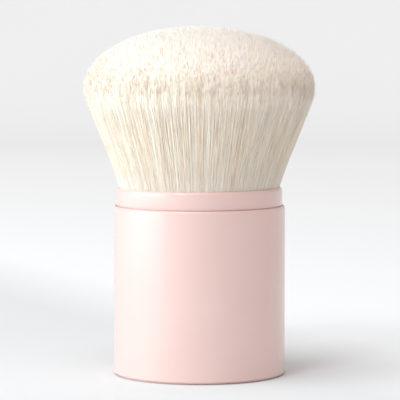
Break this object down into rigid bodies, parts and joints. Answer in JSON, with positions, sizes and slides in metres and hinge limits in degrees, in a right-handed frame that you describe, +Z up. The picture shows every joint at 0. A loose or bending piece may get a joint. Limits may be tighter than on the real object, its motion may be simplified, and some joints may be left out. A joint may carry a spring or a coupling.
{
  "type": "buffing brush",
  "caption": "Short free-standing buffing brush with a dense domed fibre head and a straight round handle whose inner sleeve slides up to gather the fibres.",
  "frame": {"origin": "middle of the flat underside of the base", "axes": "+Z up along the handle's axis, from the base to the fibres. The brush is round, so +X and +Y are free"},
  "size_m": [0.0534, 0.0533, 0.0811],
  "materials": {
    "pink_lacquer_metal": "satin pink lacquer",
    "pink_lacquer_cover": "satin pink lacquer",
    "white_plastic": "moulded",
    "zinc_steel": "zinc plated",
    "bare_aluminium": "drawn, bare",
    "grey_silicone": "matt",
    "amber_resin": "cast",
    "pale_fibre": "fine synthetic fibre"
  },
  "bodies": {
    "handle": {"barrel_shell": "pink_lacquer_metal", "base_cover": "pink_lacquer_cover", "base_plate": "white_plastic", "holder_screw_1": "zinc_steel", "holder_screw_2": "zinc_steel", "holder_screw_3": "zinc_steel", "weight_slug": "zinc_steel", "knot_holder": "white_plastic", "friction_ring": "grey_silicone", "knot_cup": "bare_aluminium", "resin_plug": "amber_resin", "tuft_core": "pale_fibre", "tuft_skirt": "pale_fibre"},
    "sleeve": {"sliding_sleeve": "pink_lacquer_metal", "sleeve_guide_ring": "white_plastic"}
  },
  "joints": [
    {"name": "collar_slide", "type": "slide", "parent": "handle", "child": "sleeve", "axis": [0, 0, 1], "range_m": [0, 0.026], "deforming": ["tuft_skirt"]}
  ]
}
